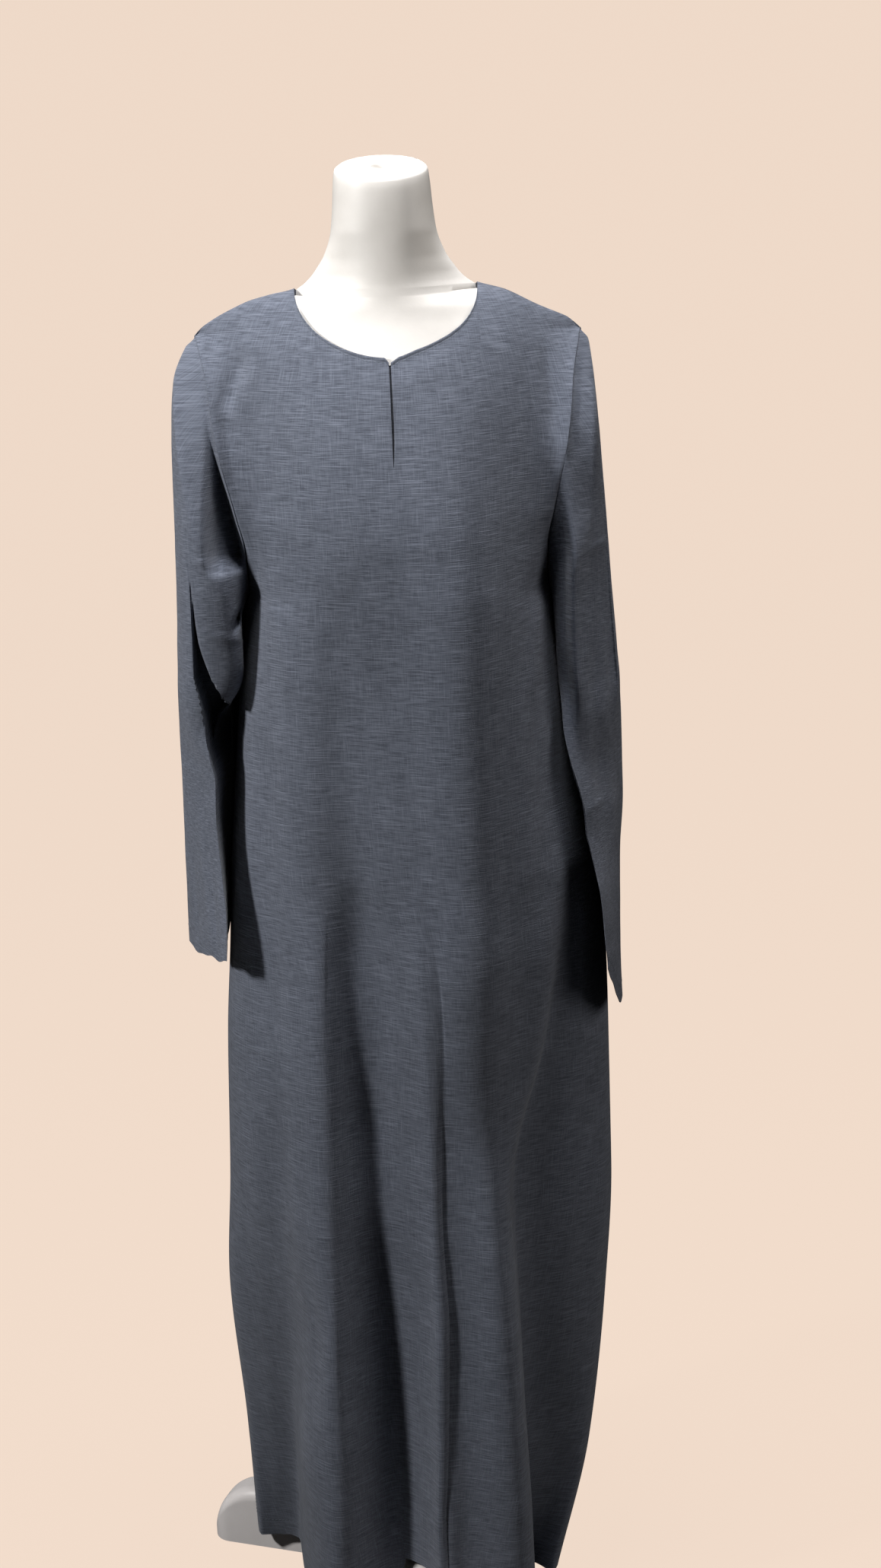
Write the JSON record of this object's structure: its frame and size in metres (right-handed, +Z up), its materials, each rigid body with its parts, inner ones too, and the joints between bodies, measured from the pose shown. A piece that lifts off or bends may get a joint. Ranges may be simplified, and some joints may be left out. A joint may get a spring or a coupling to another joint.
{
  "type": "abaya on a dress form",
  "caption": "Long straight slate-grey abaya in slubbed cloth, with a round neck, a front neck slit and long narrow sleeves, hanging on a headless dress form.",
  "frame": {"origin": "on the floor, at the middle of the base's underside, right under the hub", "axes": "+Z up along the garment's length, the front faces -Y, +X towards the wearer's left sleeve"},
  "size_m": [0.4815, 0.3996, 1.567],
  "materials": {
    "slub_cloth": "slate heather, uneven slubbed plain weave, matte",
    "form_shell": "ivory moulded shell with a fine grain",
    "pole_steel": "satin",
    "base_plastic": "pale grey, satin"
  },
  "bodies": {
    "root": {"front": "slub_cloth", "back": "slub_cloth", "sleeve_right": "slub_cloth", "sleeve_left": "slub_cloth", "dress_form": "form_shell", "pole": "pole_steel", "base": "base_plastic"}
  },
  "joints": []
}
